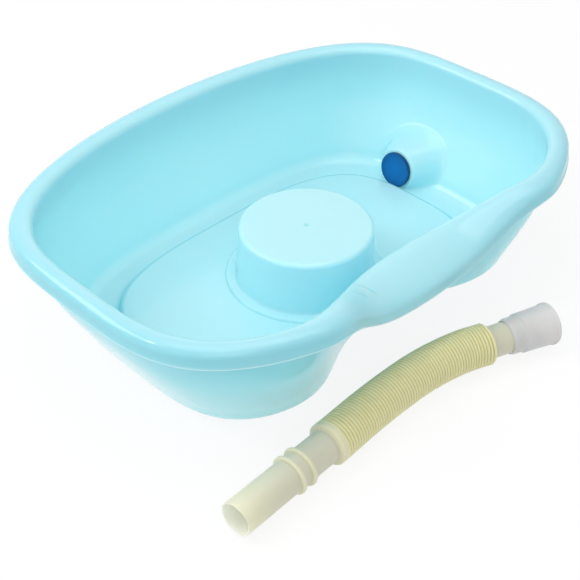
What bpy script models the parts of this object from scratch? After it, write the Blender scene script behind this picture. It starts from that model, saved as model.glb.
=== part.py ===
"""Portable shampoo basin: a one-piece bowl with a dipped neck rest and a round head
pedestal, the stopper in its drain, and the loose ribbed drain hose with its end sleeve.

Frame: metres, X along the bowl, Y from the neck rest to the back, Z up. The origin is
at the centre of the bowl's box, on the surface that it stands on.
"""

import math
from dataclasses import dataclass

import bmesh
import bpy
import numpy as np
from mathutils import Matrix, Vector

# Basin: overall sizes of the moulding and of its rolled rim
BASIN_LENGTH = 0.563
BASIN_DEPTH = 0.4196
RIM_HEIGHT = 0.1352
WALL = 0.0025
RIM_WIDTH_AT_ENDS = 0.0210
RIM_WIDTH_AT_SIDES = 0.0239
RIM_OUTER_DROP = 0.0081
RIM_INNER_DROP = 0.0079
SKIRT_HEIGHT = 0.0091
SKIRT_FLARE = 0.0014
RIM_END_POWER = 1.90
RIM_SIDE_POWER = 3.70
INNER_END_POWER = 2.15
INNER_SIDE_POWER = 3.55

# Neck rest: how far the front of the rim is set back and dips
NECK_OUTER_SET_BACK = 0.0317
NECK_OUTER_HALF_WIDTH = 0.1248
NECK_OUTER_POWER = 5.0
NECK_OUTER_DROP = 0.0380
NECK_OUTER_DROP_HALF_WIDTH = 0.1079
NECK_OUTER_DROP_POWER = 4.8
NECK_INNER_SET_BACK = 0.0673
NECK_INNER_HALF_WIDTH = 0.1159
NECK_INNER_POWER = 2.9
NECK_INNER_DROP = 0.0341
NECK_INNER_DROP_HALF_WIDTH = 0.1029
NECK_INNER_DROP_POWER = 3.8

# Wall: how far it swells out between the rim and the floor, and at which shares of that
WALL_BELLY = 0.0105
WALL_BELLY_SHARES = (0.80, 1.0, 0.60)

# Bowl floor: how far in from the rim's outside the corner of wall and floor lies, and the
# gutter and the raised panel inside it
FLOOR_SET_IN_AT_ENDS = 0.0615
FLOOR_SET_IN_AT_SIDES = 0.0613
FLOOR_SHIFT = 0.0025
FLOOR_POWER = 3.8
FLOOR_FILLET = 0.0180
NECK_FLOOR_FILLET = 0.0040
NECK_FLOOR_SET_BACK = 0.0470
NECK_FLOOR_HALF_WIDTH = 0.096
NECK_FLOOR_POWER = 3.0
GUTTER_WIDTH_AT_ENDS = 0.0295
GUTTER_WIDTH_AT_SIDES = 0.0277
PANEL_SHIFT = 0.0049
PANEL_POWER = 3.25
PANEL_RISE = 0.0055
PANEL_EDGE_RUN = 0.0010
PANEL_EDGE_ROUND = 0.0012
NECK_PANEL_SET_BACK = 0.0254

# Head pedestal
PEDESTAL_SHIFT = -0.0050
PEDESTAL_HEIGHT = 0.0680
PEDESTAL_TOP_DIAMETER = 0.1380
PEDESTAL_FOOT_DIAMETER = 0.1436
PEDESTAL_EDGE_RADIUS = 0.0050
PEDESTAL_FOOT_FILLET = 0.0030
STEP_DIAMETER = 0.1670
STEP_RISE = 0.0025
STEP_ROUND = 0.0020

# Drain: a conical boss on the right end wall, its bore and its outlet stub
DRAIN_SEAT_SET_IN = 0.0216
DRAIN_Y = 0.0418
DRAIN_HEIGHT = 0.0232
DRAIN_TILT_DEGREES = 8.0
DRAIN_BORE = 0.0316
BOSS_TIP_DIAMETER = 0.0470
BOSS_TIP_ROUND = 0.0015
BOSS_HALF_ANGLE_DEGREES = 31.0
BOSS_DEPTH = 0.0520
STUB_DIAMETER = 0.0360
STUB_LENGTH = 0.0280

# Stopper: a flange on the seat and a short tapered plug in the bore
STOPPER_DIAMETER = 0.0404
STOPPER_FLANGE = 0.0037
STOPPER_BEVEL = 0.0008
STOPPER_DISH_DEPTH = 0.0006
STOPPER_DISH_BORDER = 0.0032
PLUG_LENGTH = 0.0050
PLUG_TAPER = 0.0016
PLUG_WALL = 0.0020

# Hose: smooth spigot with two collars, ribs, and a smooth cuff in the sleeve
HOSE_RIB_DIAMETER = 0.0410
HOSE_GROOVE_DIAMETER = 0.0380
HOSE_WALL = 0.0014
RIB_COUNT = 58
RIB_LENGTH = 0.1951
SPIGOT_DIAMETER = 0.0318
SPIGOT_LENGTH = 0.0618
COLLAR_DIAMETER = 0.0374
COLLAR_WIDTH = 0.0050
COLLAR_PITCH = 0.0130
COLLAR_ROUND = 0.0012
NECK_TUBE_DIAMETER = 0.0316
NECK_TUBE_LENGTH = 0.0288
SHOULDER_LENGTH = 0.0109
SHOULDER_RAMP = 0.0030
CUFF_DIAMETER = 0.0312
CUFF_LENGTH = 0.0340

# Sleeve on the hose's cuff
SLEEVE_OVERLAP = 0.0125
SLEEVE_LENGTH = 0.0502
SLEEVE_WALL = 0.0020
SLEEVE_COLLAR_LENGTH = 0.0135
SLEEVE_STEP = 0.0014
SLEEVE_MOUTH_DIAMETER = 0.0404
SLEEVE_LIP = 0.0010
SLEEVE_LIP_WIDTH = 0.0030

# Clearance between touching pieces, and how far a cutter runs past what it cuts
CLEARANCE = 0.0003
OVERRUN = 0.0020

# Faceting
RING_POINTS = 72
TURN_POINTS = 32
HOSE_BEVEL_RESOLUTION = 4
SHARP_EDGE_DEGREES = 35.0

# Where extra rings lie along the rim's roll, the wall, the fillet and the edge round
RIM_CROWN_SHARE = 0.5
RIM_STEPS = 6
FILLET_STEPS = 3
EDGE_STEPS = 3

# Samples along a ring's quarter, between two points of the route and along the hose
QUARTER_SAMPLES = 2001
SPLINE_SAMPLES = 40
ROUTE_SAMPLES = 400

# The hose's route on the standing surface, from its open end to the sleeve
HOSE_ROUTE = (
    (-0.2822, -0.2126), (-0.2400, -0.2110), (-0.2000, -0.2095), (-0.1600, -0.2080),
    (-0.1200, -0.2059), (-0.0800, -0.2053), (-0.0400, -0.2073), (0.0000, -0.2148),
    (0.0300, -0.2256), (0.0600, -0.2366), (0.1000, -0.2512),
)


@dataclass(frozen=True)
class Dip:
    """Smooth set-back and drop of a ring along the front of the bowl.

    Attributes:
        set_back: Distance that the front moves towards the back, at its middle.
        half_width: Distance from the middle where the set-back has mostly faded.
        power: How square the set-back's outline is.
        drop: Distance that the front sinks, at its middle.
        drop_half_width: Distance from the middle where the drop has mostly faded.
        drop_power: How square the drop's outline is.
    """

    set_back: float
    half_width: float
    power: float
    drop: float = 0.0
    drop_half_width: float = 1.0
    drop_power: float = 2.0


NO_DIP = Dip(0.0, 1.0, 2.0)
OUTER_DIP = Dip(NECK_OUTER_SET_BACK, NECK_OUTER_HALF_WIDTH, NECK_OUTER_POWER,
                NECK_OUTER_DROP, NECK_OUTER_DROP_HALF_WIDTH, NECK_OUTER_DROP_POWER)
INNER_DIP = Dip(NECK_INNER_SET_BACK, NECK_INNER_HALF_WIDTH, NECK_INNER_POWER,
                NECK_INNER_DROP, NECK_INNER_DROP_HALF_WIDTH, NECK_INNER_DROP_POWER)
FLOOR_DIP = Dip(NECK_FLOOR_SET_BACK, NECK_FLOOR_HALF_WIDTH, NECK_FLOOR_POWER)
PANEL_DIP = Dip(NECK_PANEL_SET_BACK, NECK_FLOOR_HALF_WIDTH, NECK_FLOOR_POWER)


def fade(x, half_width, power):
    """Return 1 at the middle of the front, fading to 0 past half_width."""
    return np.exp(-np.abs(x / half_width) ** power)


def plan_ring(half_length, half_depth, end_power, side_power, shift, height, dip=NO_DIP):
    """Return the points of one closed ring of the bowl, evenly spaced by length.

    Args:
        half_length: Half of the ring along X.
        half_depth: Half of the ring along Y.
        end_power: Power of the superellipse along X.
        side_power: Power of the superellipse along Y.
        shift: Y of the ring's centre.
        height: Z of the ring.
        dip: Set-back and drop of its front.

    Returns:
        An array of RING_POINTS points, anticlockwise from +X.
    """
    quarter = RING_POINTS // 4
    turn = np.linspace(0.0, math.pi / 2, QUARTER_SAMPLES)
    x = half_length * np.cos(turn) ** (2 / end_power)
    y = half_depth * np.sin(turn) ** (2 / side_power)
    run = np.concatenate(([0.0], np.cumsum(np.hypot(np.diff(x), np.diff(y)))))
    even = np.linspace(0.0, run[-1], quarter + 1)
    x, y = np.interp(even, run, x), np.interp(even, run, y)
    x = np.concatenate((x[:-1], -x[:0:-1], -x[:-1], x[:0:-1]))
    y = np.concatenate((y[:-1], y[:0:-1], -y[:-1], -y[:0:-1]))
    front = np.where(y < 0, 1.0, 0.0)
    z = height - front * dip.drop * fade(x, dip.drop_half_width, dip.drop_power)
    y = y + shift + front * dip.set_back * fade(x, dip.half_width, dip.power)
    return np.stack((x, y, z), axis=1)


def circle_ring(radius, height):
    """Return a round ring about the pedestal's axis."""
    return plan_ring(radius, radius, 2, 2, PEDESTAL_SHIFT, height)


def mix(first, second, share):
    """Return the ring that lies the given share of the way between two rings."""
    return first + (second - first) * share


def unit(vectors):
    """Return the vectors, each scaled to a length of 1."""
    return vectors / np.linalg.norm(vectors, axis=1)[:, None]


def rim_rings():
    """Return the rings of the skirt and the rolled rim, from outside to inside."""
    half_length, half_depth = BASIN_LENGTH / 2, BASIN_DEPTH / 2
    outer_height = RIM_HEIGHT - RIM_OUTER_DROP
    skirt = plan_ring(half_length, half_depth, RIM_END_POWER, RIM_SIDE_POWER, 0,
                      outer_height - SKIRT_HEIGHT, OUTER_DIP)
    outer = plan_ring(half_length - SKIRT_FLARE, half_depth - SKIRT_FLARE,
                      RIM_END_POWER, RIM_SIDE_POWER, 0, outer_height, OUTER_DIP)
    inner = plan_ring(half_length - RIM_WIDTH_AT_ENDS, half_depth - RIM_WIDTH_AT_SIDES,
                      INNER_END_POWER, INNER_SIDE_POWER, 0,
                      RIM_HEIGHT - RIM_INNER_DROP, INNER_DIP)
    rings = [skirt, outer]
    for step in range(1, RIM_STEPS + 1):
        angle = math.pi * step / RIM_STEPS
        if step * 2 <= RIM_STEPS:
            share = RIM_CROWN_SHARE * (1 - math.cos(angle))
        else:
            share = RIM_CROWN_SHARE - (1 - RIM_CROWN_SHARE) * math.cos(angle)
        ring = mix(outer, inner, share)
        drop = RIM_OUTER_DROP + (RIM_INNER_DROP - RIM_OUTER_DROP) * share
        ring[:, 2] += drop * math.sin(angle)
        rings.append(ring)
    return rings


def floor_halves():
    """Return half of the floor's length and half of its depth, at the wall's corner."""
    return BASIN_LENGTH / 2 - FLOOR_SET_IN_AT_ENDS, BASIN_DEPTH / 2 - FLOOR_SET_IN_AT_SIDES


def panel_ring(inset, height):
    """Return a ring round the raised floor panel, inset from the top of its edge."""
    half_length, half_depth = floor_halves()
    return plan_ring(half_length - GUTTER_WIDTH_AT_ENDS - inset,
                     half_depth - GUTTER_WIDTH_AT_SIDES - inset, PANEL_POWER, PANEL_POWER,
                     PANEL_SHIFT, height, PANEL_DIP)


def wall_rings(inner):
    """Return the rings of the wall and of its fillet into the gutter.

    Args:
        inner: The ring at the rim's inner edge, where the wall starts.
    """
    corner = plan_ring(*floor_halves(), FLOOR_POWER, FLOOR_POWER, FLOOR_SHIFT, WALL,
                       FLOOR_DIP)
    inward = panel_ring(0, WALL) - corner
    front = np.where(corner[:, 1] < 0, 1.0, 0.0)
    narrow = front * fade(corner[:, 0], NECK_FLOOR_HALF_WIDTH, NECK_FLOOR_POWER)
    reach = (FLOOR_FILLET + (NECK_FLOOR_FILLET - FLOOR_FILLET) * narrow)[:, None]
    start = corner + reach * unit(inner - corner)
    end = corner + reach * unit(inward)
    flat = front * fade(corner[:, 0], NECK_OUTER_HALF_WIDTH, NECK_OUTER_POWER)
    swell = (WALL_BELLY * (1 - flat))[:, None] * unit(inward)
    rings = []
    for step, bulge_share in enumerate(WALL_BELLY_SHARES, 1):
        share = step / (len(WALL_BELLY_SHARES) + 1)
        rings.append(mix(inner, start, share) - bulge_share * swell)
    for step in range(FILLET_STEPS + 1):
        share = step / FILLET_STEPS
        rings.append((1 - share) ** 2 * start + 2 * share * (1 - share) * corner
                     + share ** 2 * end)
    return rings


def floor_rings():
    """Return the rings of the panel's edge, the step, the pedestal and its top."""
    panel = WALL + PANEL_RISE
    step = panel + STEP_RISE
    foot = PEDESTAL_FOOT_DIAMETER / 2
    top = PEDESTAL_TOP_DIAMETER / 2
    edge = PEDESTAL_EDGE_RADIUS
    rings = [
        panel_ring(-PANEL_EDGE_RUN, WALL),
        panel_ring(0, panel - PANEL_EDGE_ROUND),
        panel_ring(PANEL_EDGE_ROUND, panel),
        circle_ring(STEP_DIAMETER / 2, panel),
        circle_ring(STEP_DIAMETER / 2 - STEP_ROUND, step),
        circle_ring(foot + PEDESTAL_FOOT_FILLET, step),
        circle_ring(foot, step + PEDESTAL_FOOT_FILLET),
    ]
    for step in range(EDGE_STEPS + 1):
        angle = math.pi / 2 * step / EDGE_STEPS
        rings.append(circle_ring(top - edge * (1 - math.cos(angle)),
                                 PEDESTAL_HEIGHT - edge * (1 - math.sin(angle))))
    return rings


def loft(rings, closed=False, cap_start=False, cap_end=False):
    """Return a bmesh that joins rings of equally many points with quads.

    Args:
        rings: Arrays of points; their order and their turn give the normals.
        closed: Whether the last ring is joined back to the first.
        cap_start: Whether the first ring is filled.
        cap_end: Whether the last ring is filled.
    """
    mesh = bmesh.new()
    rows = [[mesh.verts.new(point) for point in ring] for ring in rings]
    pairs = list(zip(rows, rows[1:]))
    if closed:
        pairs.append((rows[-1], rows[0]))
    for first, second in pairs:
        for index in range(len(first)):
            after = (index + 1) % len(first)
            mesh.faces.new((first[index], first[after], second[after], second[index]))
    if cap_start:
        mesh.faces.new(list(reversed(rows[0])))
    if cap_end:
        mesh.faces.new(rows[-1])
    return mesh


def add_object(name, mesh, material=None, parent=None, matrix=None, outward=True):
    """Turn a bmesh into a named object.

    Args:
        name: Name of the object.
        mesh: The bmesh, which is freed.
        material: Its material, or None for a cutter or a guide.
        parent: An empty that carries it.
        matrix: Its place in the parent's frame.
        outward: Whether the closed surface's normals are turned outward.

    Returns:
        The new object.
    """
    if outward:
        bmesh.ops.recalc_face_normals(mesh, faces=mesh.faces)
    data = bpy.data.meshes.new(name)
    mesh.to_mesh(data)
    mesh.free()
    thing = bpy.data.objects.new(name, data)
    bpy.context.scene.collection.objects.link(thing)
    thing.parent = parent
    if matrix is not None:
        thing.matrix_local = matrix
    if material is None:
        thing.hide_render = True
        thing.display_type = "WIRE"
    else:
        data.materials.append(material)
        data.shade_smooth()
        data.set_sharp_from_angle(angle=math.radians(SHARP_EDGE_DEGREES))
    return thing


def add_empty(name, location):
    """Return a new empty at a place in the world."""
    empty = bpy.data.objects.new(name, None)
    empty.location = location
    bpy.context.scene.collection.objects.link(empty)
    return empty


def plastic(name, colour, roughness):
    """Return a plain plastic material in the given linear colour."""
    material = bpy.data.materials.new(name)
    material.use_nodes = True
    shader = material.node_tree.nodes["Principled BSDF"]
    shader.inputs["Base Color"].default_value = (*colour, 1)
    shader.inputs["Roughness"].default_value = roughness
    shader.inputs["Metallic"].default_value = 0
    return material


def turned(profile, points=TURN_POINTS, **ends):
    """Return a bmesh turned about X from (distance, radius) pairs."""
    angles = np.linspace(0, 2 * math.pi, points + 1)[:-1]
    rings = []
    for distance, radius in profile:
        ring = np.stack((np.full(points, float(distance)), radius * np.cos(angles),
                         radius * np.sin(angles)), axis=1)
        rings.append(ring)
    return loft(rings, **ends)


def boolean(thing, operation, other):
    """Add a Boolean modifier to thing."""
    modifier = thing.modifiers.new(f"{operation.lower()}_{other.name}", "BOOLEAN")
    modifier.operation = operation
    modifier.solver = "EXACT"
    modifier.object = other


def drain_matrix():
    """Return the drain's frame: origin on the seat, X outward along the bore."""
    seat = floor_halves()[0] - DRAIN_SEAT_SET_IN
    place = Matrix.Translation((seat, DRAIN_Y, DRAIN_HEIGHT))
    return place @ Matrix.Rotation(math.radians(DRAIN_TILT_DEGREES), 4, "Y")


def bowl_envelope(rings, carrier):
    """Return a guide solid that fills the bowl out to the middle of its wall."""
    mesh = loft(rings, cap_start=True, cap_end=True)
    mesh.normal_update()
    for vert in mesh.verts:
        vert.co -= vert.normal * (WALL / 2)
    return add_object("bowl_envelope", mesh, parent=carrier)


def build_drain(shell, envelope, carrier):
    """Add the conical boss, its hollow back, the outlet stub and the bore.

    Args:
        shell: The bowl that gets them.
        envelope: The guide solid that ends the boss inside the wall.
        carrier: The empty that carries the bowl.
    """
    place = drain_matrix()
    slope = math.tan(math.radians(BOSS_HALF_ANGLE_DEGREES))
    slant = WALL / math.cos(math.radians(BOSS_HALF_ANGLE_DEGREES))
    tip = BOSS_TIP_DIAMETER / 2
    boss = add_object("drain_boss", turned((
        (0, tip - BOSS_TIP_ROUND),
        (BOSS_TIP_ROUND, tip + BOSS_TIP_ROUND * slope),
        (BOSS_DEPTH, tip + BOSS_DEPTH * slope),
    ), cap_start=True, cap_end=True), parent=carrier, matrix=place)
    boolean(boss, "INTERSECT", envelope)
    recess = add_object("boss_recess", turned((
        (WALL, tip + WALL * slope - slant),
        (BOSS_DEPTH + OVERRUN, tip + (BOSS_DEPTH + OVERRUN) * slope - slant),
    ), cap_start=True, cap_end=True), parent=carrier, matrix=place)
    stub = add_object("outlet_stub", turned((
        (WALL / 2, STUB_DIAMETER / 2),
        (WALL + STUB_LENGTH, STUB_DIAMETER / 2),
    ), cap_start=True, cap_end=True), parent=carrier, matrix=place)
    bore = add_object("drain_bore", turned((
        (-OVERRUN, DRAIN_BORE / 2),
        (WALL + STUB_LENGTH + OVERRUN, DRAIN_BORE / 2),
    ), cap_start=True, cap_end=True), parent=carrier, matrix=place)
    boolean(shell, "UNION", boss)
    boolean(shell, "DIFFERENCE", recess)
    boolean(shell, "UNION", stub)
    boolean(shell, "DIFFERENCE", bore)


def build_basin():
    """Build the bowl and return the empty that carries it."""
    rim = rim_rings()
    depths = rim[0][:, 1]
    carrier = add_empty("basin_frame", (0, -(depths.max() + depths.min()) / 2, 0))
    walls = wall_rings(rim[-1])
    mesh = loft(rim + walls + floor_rings(), cap_end=True)
    shell = add_object("basin_shell", mesh, plastic("basin_plastic", (0.40, 0.77, 0.86), 0.25),
                       carrier, outward=False)
    shell_wall = shell.modifiers.new("wall", "SOLIDIFY")
    shell_wall.thickness = WALL
    shell_wall.offset = -1
    shell_wall.use_even_offset = True
    shell_wall.use_quality_normals = True
    envelope = bowl_envelope(walls, carrier)
    build_drain(shell, envelope, carrier)
    return carrier


def build_stopper(carrier):
    """Build the stopper, hung from an empty on the edge that it tips about."""
    flange = STOPPER_DIAMETER / 2
    plug = DRAIN_BORE / 2 - CLEARANCE
    face = -CLEARANCE - STOPPER_FLANGE
    hinge = add_empty("stopper_edge", (0, 0, 0))
    hinge.parent = carrier
    hinge.matrix_local = drain_matrix() @ Matrix.Translation((face, 0, -flange))
    profile = (
        (face + STOPPER_DISH_DEPTH, flange - STOPPER_DISH_BORDER - STOPPER_DISH_DEPTH),
        (face, flange - STOPPER_DISH_BORDER),
        (face, flange - STOPPER_BEVEL),
        (face + STOPPER_BEVEL, flange),
        (-CLEARANCE, flange),
        (-CLEARANCE, plug),
        (PLUG_LENGTH, plug - PLUG_TAPER),
        (PLUG_LENGTH, plug - PLUG_TAPER - PLUG_WALL),
        (-CLEARANCE, plug - PLUG_WALL),
    )
    add_object("drain_stopper", turned(profile, cap_start=True, cap_end=True),
               plastic("stopper_plastic", (0.004, 0.16, 0.46), 0.35), hinge,
               Matrix.Translation((-face, 0, flange)))


def ribs_start():
    """Return the distance from the hose's open end to its first rib."""
    return (SPIGOT_LENGTH + COLLAR_PITCH + COLLAR_WIDTH + NECK_TUBE_LENGTH
            + SHOULDER_LENGTH)


def smooth_route():
    """Return the hose's centreline as evenly spaced points, with their distances.

    The line is a spline through the route's own points. It lies at the height that lets
    the first rib rest on the standing surface, and the sleeve's lip at the other end.
    """
    points = np.array(HOSE_ROUTE)
    padded = np.vstack((2 * points[0] - points[1], points, 2 * points[-1] - points[-2]))
    line = []
    for index in range(1, len(padded) - 2):
        before, start, end, after = padded[index - 1:index + 3]
        for share in np.linspace(0, 1, SPLINE_SAMPLES, endpoint=False):
            line.append(0.5 * (2 * start + (end - before) * share
                               + (2 * before - 5 * start + 4 * end - after) * share ** 2
                               + (3 * start - before - 3 * end + after) * share ** 3))
    line.append(points[-1])
    line = np.array(line)
    run = np.concatenate(([0.0], np.cumsum(np.linalg.norm(np.diff(line, axis=0), axis=1))))
    even = np.linspace(0, run[-1], ROUTE_SAMPLES)
    x, y = np.interp(even, run, line[:, 0]), np.interp(even, run, line[:, 1])
    lip = SLEEVE_MOUTH_DIAMETER / 2 + SLEEVE_LIP
    z = np.interp(even, (ribs_start(), ribs_start() + RIB_LENGTH), (HOSE_RIB_DIAMETER / 2, lip))
    return np.stack((x, y, z), axis=1), even


def hose_length():
    """Return the hose's length, from its open end to the end of its cuff."""
    return ribs_start() + RIB_LENGTH + CUFF_LENGTH


def hose_stations():
    """Return the hose's outside as (distance, radius) pairs."""
    spigot, collar = SPIGOT_DIAMETER / 2, COLLAR_DIAMETER / 2
    neck, groove, rib = NECK_TUBE_DIAMETER / 2, HOSE_GROOVE_DIAMETER / 2, HOSE_RIB_DIAMETER / 2
    cuff = CUFF_DIAMETER / 2
    stations = [(0, spigot), (SPIGOT_LENGTH / 2, spigot)]
    for start in (SPIGOT_LENGTH, SPIGOT_LENGTH + COLLAR_PITCH):
        stations += [(start, spigot), (start + COLLAR_ROUND, collar),
                     (start + COLLAR_WIDTH - COLLAR_ROUND, collar),
                     (start + COLLAR_WIDTH, spigot)]
    neck_start = SPIGOT_LENGTH + COLLAR_PITCH + COLLAR_WIDTH
    shoulder_start = neck_start + NECK_TUBE_LENGTH
    stations += [(neck_start + COLLAR_ROUND, neck), (shoulder_start, neck),
                 (shoulder_start + SHOULDER_RAMP, rib)]
    pitch = RIB_LENGTH / RIB_COUNT
    for index in range(RIB_COUNT):
        stations += [(ribs_start() + index * pitch, groove),
                     (ribs_start() + (index + 0.5) * pitch, rib)]
    ribs_end = ribs_start() + RIB_LENGTH
    stations += [(ribs_end, groove), (ribs_end + COLLAR_ROUND, cuff),
                 (ribs_end + CUFF_LENGTH / 2, cuff), (ribs_end + CUFF_LENGTH, cuff)]
    return stations


def bore_stations():
    """Return the hose's plainer bore as (distance, radius) pairs."""
    spigot, neck = SPIGOT_DIAMETER / 2 - HOSE_WALL, NECK_TUBE_DIAMETER / 2 - HOSE_WALL
    ribs = HOSE_GROOVE_DIAMETER / 2 - HOSE_WALL
    cuff = CUFF_DIAMETER / 2 - HOSE_WALL
    neck_start = SPIGOT_LENGTH + COLLAR_PITCH
    ribs_end = ribs_start() + RIB_LENGTH
    stations = [(-OVERRUN, spigot), (neck_start, neck), (ribs_start() - SHOULDER_RAMP, neck),
                (ribs_start(), ribs)]
    steps = RIB_COUNT // 3
    stations += [(ribs_start() + RIB_LENGTH * index / steps, ribs)
                 for index in range(1, steps)]
    stations += [(ribs_end - SHOULDER_RAMP, ribs), (ribs_end, cuff),
                 (ribs_end + CUFF_LENGTH + OVERRUN, cuff)]
    return stations


def tube(name, stations, material=None):
    """Return an object swept along the route, with a radius at each distance."""
    line, distances = smooth_route()
    scale = HOSE_RIB_DIAMETER / 2
    data = bpy.data.curves.new(name, "CURVE")
    data.dimensions = "3D"
    data.bevel_depth = scale
    data.bevel_resolution = HOSE_BEVEL_RESOLUTION
    data.use_fill_caps = True
    spline = data.splines.new("POLY")
    spline.points.add(len(stations) - 1)
    start_way, end_way = line[0] - line[1], line[-1] - line[-2]
    start_way, end_way = (way / np.linalg.norm(way) for way in (start_way, end_way))
    for point, (distance, radius) in zip(spline.points, stations):
        place = np.array([np.interp(distance, distances, line[:, axis]) for axis in range(3)])
        place = place + max(0.0, -distance) * start_way
        place = place + max(0.0, distance - distances[-1]) * end_way
        point.co = (*place, 1)
        point.radius = radius / scale
    swept = bpy.data.objects.new(name, data)
    bpy.context.scene.collection.objects.link(swept)
    bpy.context.view_layer.update()
    mesh = bmesh.new()
    mesh.from_mesh(bpy.data.meshes.new_from_object(swept))
    bpy.data.objects.remove(swept)
    bmesh.ops.remove_doubles(mesh, verts=mesh.verts, dist=CLEARANCE / 10)
    return add_object(name, mesh, material)


def build_hose():
    """Build the hose and return the place and heading of its cuff's end."""
    hose = tube("drain_hose", hose_stations(), plastic("hose_plastic", (0.62, 0.60, 0.36), 0.45))
    bore = tube("hose_bore", bore_stations())
    boolean(hose, "DIFFERENCE", bore)
    line, distances = smooth_route()
    end = np.array([np.interp(hose_length(), distances, line[:, axis]) for axis in range(3)])
    before = np.array([np.interp(hose_length() - CUFF_LENGTH / 2, distances, line[:, axis])
                       for axis in range(3)])
    return Vector(end), Vector(end - before).normalized()


def build_sleeve(end, heading):
    """Build the sleeve that is pushed over the hose's cuff.

    Args:
        end: Centre of the cuff's end.
        heading: Unit vector from the hose towards the sleeve's mouth.
    """
    inner = (CUFF_DIAMETER / 2 + CLEARANCE) / math.cos(math.pi / TURN_POINTS)
    outer = inner + SLEEVE_WALL
    mouth = SLEEVE_MOUTH_DIAMETER / 2
    wide = outer + SLEEVE_STEP
    profile = (
        (0, inner), (0, outer), (SLEEVE_COLLAR_LENGTH, outer),
        (SLEEVE_COLLAR_LENGTH + SLEEVE_STEP, wide),
        (SLEEVE_LENGTH - SLEEVE_LIP_WIDTH - SLEEVE_LIP, mouth),
        (SLEEVE_LENGTH - SLEEVE_LIP_WIDTH, mouth + SLEEVE_LIP),
        (SLEEVE_LENGTH, mouth + SLEEVE_LIP), (SLEEVE_LENGTH, mouth - SLEEVE_WALL),
        (SLEEVE_COLLAR_LENGTH + SLEEVE_STEP, wide - SLEEVE_WALL),
        (SLEEVE_COLLAR_LENGTH, inner),
    )
    start = end - heading * SLEEVE_OVERLAP
    turn = Matrix.Rotation(math.atan2(heading.y, heading.x), 4, "Z")
    add_object("hose_sleeve", turned(profile, closed=True),
               plastic("sleeve_plastic", (0.66, 0.65, 0.64), 0.3),
               matrix=Matrix.Translation(start) @ turn)


def main():
    """Build the whole part in an empty scene."""
    for thing in list(bpy.data.objects):
        bpy.data.objects.remove(thing)
    carrier = build_basin()
    build_stopper(carrier)
    end, heading = build_hose()
    build_sleeve(end, heading)


main()
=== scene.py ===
"""Portable shampoo basin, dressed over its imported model.

The bowl is one thin moulding with a rolled rim, a dipped neck rest, a round head pedestal
and a drain boss that swells out of the end wall. A blue stopper sits in the drain. A loose
waste hose lies beside the bowl: smooth spigot, two collars, ribs and a cuff in its sleeve.

Frame: metres, X along the bowl, Y from the neck rest to the back, Z up.
"""

from __future__ import annotations

import logging
import math
from dataclasses import dataclass, replace
from enum import Enum
from typing import Any, Callable, Sequence, Union

import bmesh
import bpy
import numpy as np
from mathutils import Matrix, Vector

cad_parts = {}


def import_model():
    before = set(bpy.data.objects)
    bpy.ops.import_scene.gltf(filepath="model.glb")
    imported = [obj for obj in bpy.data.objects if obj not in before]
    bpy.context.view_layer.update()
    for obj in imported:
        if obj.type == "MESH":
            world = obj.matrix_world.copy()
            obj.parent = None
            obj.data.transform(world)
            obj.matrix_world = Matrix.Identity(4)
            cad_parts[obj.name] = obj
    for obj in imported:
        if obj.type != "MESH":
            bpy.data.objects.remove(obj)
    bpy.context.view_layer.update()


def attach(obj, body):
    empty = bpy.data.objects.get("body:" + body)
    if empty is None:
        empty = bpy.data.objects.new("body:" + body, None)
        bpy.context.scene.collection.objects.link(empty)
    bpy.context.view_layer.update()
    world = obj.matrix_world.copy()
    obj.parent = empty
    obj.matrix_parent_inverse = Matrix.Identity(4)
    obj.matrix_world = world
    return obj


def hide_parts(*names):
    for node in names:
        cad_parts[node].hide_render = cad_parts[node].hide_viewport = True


LOG = logging.getLogger("shampoo_basin")

Ring = np.ndarray
Colour = tuple[float, float, float]
Profile = list[tuple[float, float]]
Table = tuple[tuple[float, float], ...]
Number = Union[float, "Term"]

CLEARANCE = 0.0003
MERGE_DISTANCE = CLEARANCE / 30
SMALLEST_GAP = CLEARANCE / 100
GRAIN_HEIGHT = 0.00001
QUARTERS = (0.25, 0.5, 0.75)
BEND_SHARES = (0.2, 0.5, 0.8, 1.0)
SMOOTH_BELOW_DEGREES = 38.0
QUARTER_SAMPLES = 4001


class Body(Enum):
    """The moving bodies that the pieces ride on."""

    BASIN = "basin"
    STOPPER = "stopper"
    HOSE = "hose"
    SLEEVE = "sleeve"


class Gloss(Enum):
    """Roughness of a moulded surface, by the polish of its mould."""

    POLISHED = 0.12
    SOFT = 0.28
    SATIN = 0.40


def linear(colour: Colour) -> tuple[float, float, float, float]:
    """Turn a screen colour into a linear one, by the sRGB curve.

    Args:
        colour: Red, green and blue from 0 to 1, as a screen shows them.

    Returns:
        Linear red, green and blue, and an alpha of 1.
    """
    parts = [part / 12.92 if part <= 0.04045 else ((part + 0.055) / 1.055) ** 2.4
             for part in colour]
    return (*parts, 1.0)


def grey(strength: float) -> tuple[float, float, float, float]:
    """Return a linear grey with an alpha of 1."""
    return (strength, strength, strength, 1.0)


class Term:
    """One shader value, which Python's operators turn into Math nodes."""

    def __init__(self, graph: "Graph", socket: bpy.types.NodeSocket) -> None:
        """Wrap the output socket of a node in a graph."""
        self.graph = graph
        self.socket = socket

    def __add__(self, other: Number) -> "Term":
        """Return self + other."""
        return self.graph.maths("ADD", self, other)

    def __sub__(self, other: Number) -> "Term":
        """Return self - other."""
        return self.graph.maths("SUBTRACT", self, other)

    def __rsub__(self, other: Number) -> "Term":
        """Return other - self."""
        return self.graph.maths("SUBTRACT", other, self)

    def __mul__(self, other: Number) -> "Term":
        """Return self * other."""
        return self.graph.maths("MULTIPLY", self, other)

    __radd__ = __add__
    __rmul__ = __mul__

    def clamped(self) -> "Term":
        """Return self, held from 0 to 1."""
        return self.graph.maths("ADD", self, 0.0, clamp=True)


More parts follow.
